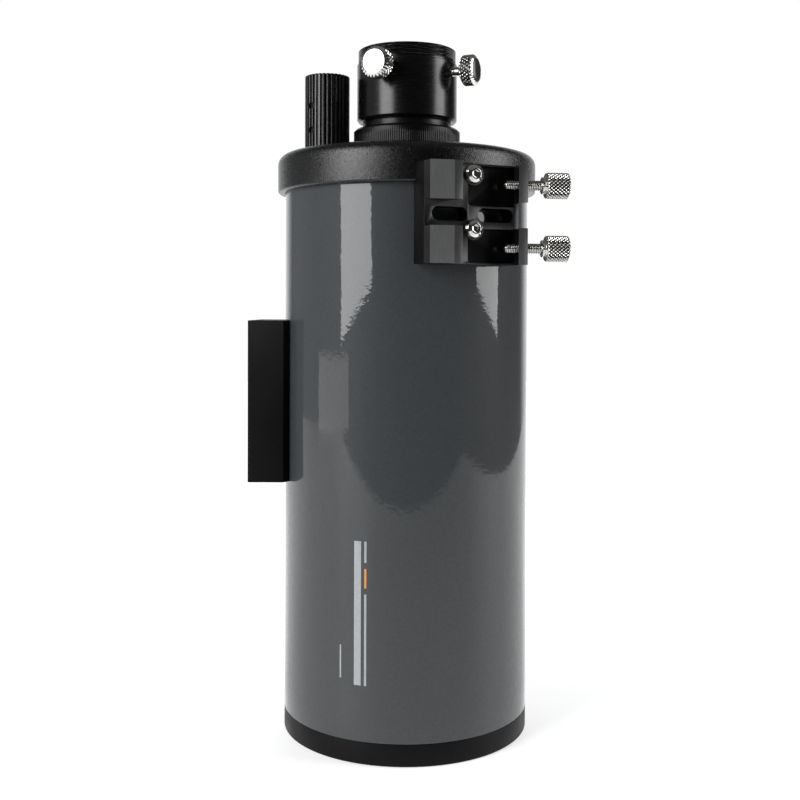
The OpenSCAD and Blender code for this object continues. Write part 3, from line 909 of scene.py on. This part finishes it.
def thumb_shank(side):
    turn = THUMB_TURNS[side]
    start, ahead = outward(turn, THUMB_TIP, THUMB_Z), outward(turn, FAR, THUMB_Z)
    piece = detailed(side + "_screw_shank", thread(THUMB_SHANK), 30, along(start, ahead))
    return paint_groove_shade(piece, start, ahead, M4_POINT, THUMB_SHANK, M4_R - THREAD_SHADE)


def clamp_point(side, reach):
    """A point on a clamp screw's axis, which leans out from the rail, in millimetres."""
    lean = radians(CLAMP_LEAN)
    return shoe_point(CLAMP_U + reach * cos(lean), CLAMP_V + reach * sin(lean), CLAMP_Z[side])


def clamp_head(side):
    """Finder clamp's head: knurled drum behind a narrow, grooved collar."""
    radius, collar, height, width = 5.15, 3.4, 1.6, 10.5
    bore, bore_end = 2.05, 7.65
    low, high = height + 0.3, width - 0.35
    shape, step, segments = diamond_knurl(radius, low, high, 22)
    outline = rounded([
        (bore, 0, 0.1), (collar, 0, 0.15), (collar, 0.6, 0.1), (collar - 0.4, 0.75, 0),
        (collar - 0.4, 1.05, 0), (collar, 1.2, 0.1), (collar, height, 0),
        (radius - 0.3, height, 0.1), (radius, low, 0), (radius, high, 0),
        (radius - 0.35, width, 0.1), (0, width - 0.02, 0), (0, bore_end, 0),
        (bore, bore_end, 0)], 2)
    outline = divided(outline, step, low - 1e-3, high + 1e-3)
    start, ahead = clamp_point(side, CLAMP_HEAD), clamp_point(side, FAR)
    piece = detailed(side + "_clamp_head", turned(outline, segments, shape), 40,
                     along(start, ahead))
    return paint_groove_shade(piece, start, ahead, low, high, radius - KNURL_SHADE)


def clamp_shank(side):
    start, ahead = clamp_point(side, CLAMP_TIP), clamp_point(side, FAR)
    piece = detailed(side + "_clamp_shank", thread(CLAMP_SHANK), 30, along(start, ahead))
    return paint_groove_shade(piece, start, ahead, M4_POINT, CLAMP_SHANK, M4_R - THREAD_SHADE)


def shoe_screws():
    """Two button-head screws with hexagon sockets that hold the finder shoe."""
    parts = []
    radius, height, hexagon = 3.8, 2.2, 1.45
    for z, length in zip(SHOE_SCREW_Z, SHOE_SCREW_LENGTHS):
        head = [(1.4, height - 1.2), (1.4, height - 0.15)]
        for k in range(9):
            angle = radians(12 + 78 * (8 - k) / 8)
            head.append((max(1.6, radius * cos(angle) * 1.02), height * (sin(angle) * 1.1 - 0.1)))
        outline = [(0, height - 1.35), (1.25, height - 1.2), (hexagon, height - 1.15),
                   (hexagon, height - 0.05)]
        outline += rounded([(hexagon + 0.15, height, 0), (2.1, height, 0.3),
                            (3.3, height - 0.75, 0.5), (radius, 0.45, 0.3), (radius, 0, 0.1),
                            (M4_R, 0, 0), (M4_R, -length + 0.3, 0.1), (0, -length, 0)], 4)

        def shape(r, h, angle):
            if h > height - 1.25 and 1.2 < r < 1.65:
                side = (angle + pi / 6) % (pi / 3) - pi / 6
                return r * cos(pi / 6) / cos(side) * 1.06
            return r

        vertices, faces = turned(outline, 96, shape)
        place = along(shoe_point(SHOE_SCREW_U, 0, z), shoe_point(SHOE_SCREW_U, 10, z))
        parts.append(([place @ Vector(v) for v in vertices], faces))
    return detailed("shoe_screws", joined(*parts), 32)


# ---------------------------------------------------------------- build the pieces

main_tube = tube()
tube_holes(main_tube)
front_cell()
rear_cell()
marking()
port_lock_ring()
collar_ring()
holder_sleeve()
eyepiece_holder()
focus_knob()
for side in ("left", "right"):
    thumb_head(side)
    thumb_shank(side)
for side in ("upper", "lower"):
    clamp_head(side)
    clamp_shank(side)
shoe_screws()
softened("finder_shoe", 0.22)
softened("dovetail_bar", 0.3)
softened("dust_cap", 0.4)

for name, node in frame["nodes"].items():
    node.data.materials.clear()
    node.data.materials.append(MATERIALS[SLOT_OF[name]])


# ---------------------------------------------------------------- studio

def table():
    """Pale light table that ends in front of the telescope, where the camera stands.
    Its glow grows from the front edge to the back."""
    (west, east), (south, north) = TABLE_X, TABLE_Y
    under = -TABLE_THICKNESS
    material = Shader("table_white")
    material.colour(material.noise(40, 4), grey(0.84), grey(0.88))
    material.vary("Roughness", material.noise(60), 0.3, 0.7, 0.5, 0.6)
    parts = material.tree.nodes.new("ShaderNodeSeparateXYZ")
    material.link(material.object_place, parts.inputs["Vector"])
    material.set(Emission_Color=(1, 1, 1, 1))
    material.vary("Emission Strength", parts.outputs["Y"], -0.4, 0.3, 0.2, 0.85)
    corners = [(west, south), (east, south), (east, north), (west, north)]
    vertices = [(x, y, -0.0002) for x, y in corners] + [(x, y, under) for x, y in corners]
    faces = [(0, 1, 2, 3), (7, 6, 5, 4), (0, 4, 5, 1), (1, 5, 6, 2), (2, 6, 7, 3), (3, 7, 4, 0)]
    piece = new_piece("table_top", (vertices, faces), material.material)


def softbox(name, azimuth, half_angle, distance, low, high, radiance, roll):
    """A tall area light at an azimuth from the camera's side, rolled by some degrees."""
    light = bpy.data.lights.new(name, "AREA")
    light.shape = "RECTANGLE"
    light.size = 2 * distance * tan(radians(half_angle))
    light.size_y = high - low
    light.energy = radiance * pi * light.size * light.size_y
    piece = bpy.data.objects.new(name, light)
    turn = radians(azimuth)
    piece.location = (distance * sin(turn), -distance * cos(turn), (low + high) / 2)
    aim = Vector((0, 0, (low + high) / 2)) - piece.location
    piece.rotation_mode = "QUATERNION"
    piece.rotation_quaternion = aim.to_track_quat("-Z", "Y") @ Quaternion((0, 0, 1), radians(roll))
    bpy.context.scene.collection.objects.link(piece)


def world_light():
    """White behind and overhead, dark on the camera's side; pure white where it is seen."""
    world = bpy.data.worlds.new("studio")
    bpy.context.scene.world = world
    world.use_nodes = True
    tree = world.node_tree
    tree.nodes.clear()
    link = tree.links.new

    def node(kind, **values):
        made = tree.nodes.new(kind)
        for name, value in values.items():
            setattr(made, name, value)
        return made

    def remap(source, low, high, to_low, to_high):
        made = node("ShaderNodeMapRange", interpolation_type="SMOOTHSTEP")
        made.inputs["From Min"].default_value = low
        made.inputs["From Max"].default_value = high
        made.inputs["To Min"].default_value = to_low
        made.inputs["To Max"].default_value = to_high
        link(source, made.inputs["Value"])
        return made.outputs["Result"]

    place = node("ShaderNodeTexCoord")
    parts = node("ShaderNodeSeparateXYZ")
    link(place.outputs["Generated"], parts.inputs["Vector"])
    behind = remap(parts.outputs["Y"], 0.68, 0.9, ROOM_DARK, BACKDROP)
    overhead = remap(parts.outputs["Z"], 0.3, 0.9, 0.0, CEILING)
    beside = remap(parts.outputs["X"], -0.5, -0.95, 0.0, ROOM_LEFT)
    walls = node("ShaderNodeMath", operation="MAXIMUM")
    link(behind, walls.inputs[0])
    link(beside, walls.inputs[1])
    total = node("ShaderNodeMath", operation="MAXIMUM")
    link(walls.outputs["Value"], total.inputs[0])
    link(overhead, total.inputs[1])
    room = node("ShaderNodeBackground")
    room.inputs["Color"].default_value = (0.97, 0.985, 1.0, 1)
    link(total.outputs["Value"], room.inputs["Strength"])
    seen = node("ShaderNodeBackground")
    seen.inputs["Color"].default_value = (1, 1, 1, 1)
    path = node("ShaderNodeLightPath")
    mix = node("ShaderNodeMixShader")
    link(path.outputs["Is Camera Ray"], mix.inputs["Fac"])
    link(room.outputs["Background"], mix.inputs[1])
    link(seen.outputs["Background"], mix.inputs[2])
    out = node("ShaderNodeOutputWorld")
    link(mix.outputs["Shader"], out.inputs["Surface"])


def camera():
    """Eye level just below the rear cell, the frame shifted down to keep the verticals upright."""
    data = bpy.data.cameras.new("camera")
    data.lens = CAMERA_LENS
    data.sensor_width = 36.0
    data.shift_x, data.shift_y = CAMERA_SHIFT
    data.clip_start = 0.01
    data.clip_end = 50.0
    piece = bpy.data.objects.new("camera", data)
    piece.location = CAMERA_PLACE
    pitch = Matrix.Rotation(radians(90 - CAMERA_DIP), 4, "X")
    roll = Matrix.Rotation(radians(CAMERA_ROLL), 4, "Z")
    piece.rotation_euler = (pitch @ roll).to_euler()
    bpy.context.scene.collection.objects.link(piece)
    bpy.context.scene.camera = piece


table()
softbox("softbox_left", -48.5, 15.0, 1.2, 0.165, 1.1, 9.0, 7)
softbox("softbox_right", 82.0, 13.0, 1.2, 0.17, 1.1, 7.0, -8)
softbox("card_left", -70, 17.0, 1.2, 0.0, 0.107, 1.8, 0)
world_light()
camera()
bpy.context.scene.view_settings.view_transform = "Standard"
